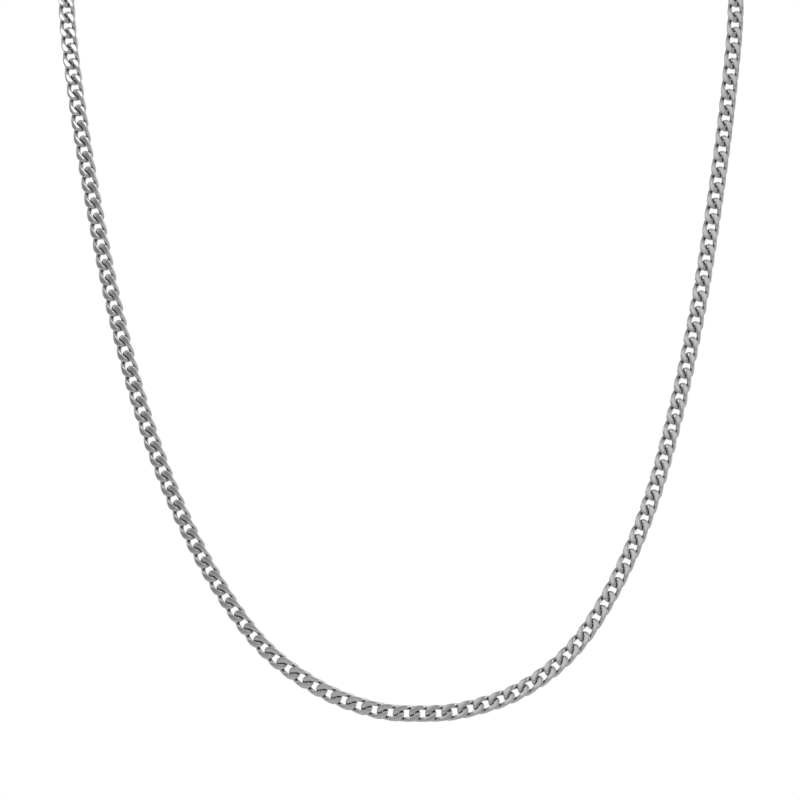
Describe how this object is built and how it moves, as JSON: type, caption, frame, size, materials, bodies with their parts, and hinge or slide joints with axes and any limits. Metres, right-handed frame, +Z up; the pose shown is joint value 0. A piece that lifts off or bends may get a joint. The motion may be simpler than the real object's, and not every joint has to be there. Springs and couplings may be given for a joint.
{
  "type": "cuban link neck chain",
  "caption": "Closed neck chain of interlocked, twisted and filed curb links with a lobster clasp, kept in its worn, hanging form.",
  "frame": {"origin": "middle of the nape stretch, on the edge of the clasp that lies against the neck", "axes": "+Z up, +Y backwards out of the nape, +X to the right of someone who looks at the front of the worn chain"},
  "size_m": [0.1197, 0.061, 0.1496],
  "materials": {
    "polished_steel": "polished"
  },
  "bodies": {
    "root": {"chain_left": "polished_steel", "chain_right": "polished_steel", "clasp": "polished_steel", "hook_ring": "polished_steel", "end_ring": "polished_steel"}
  },
  "joints": []
}
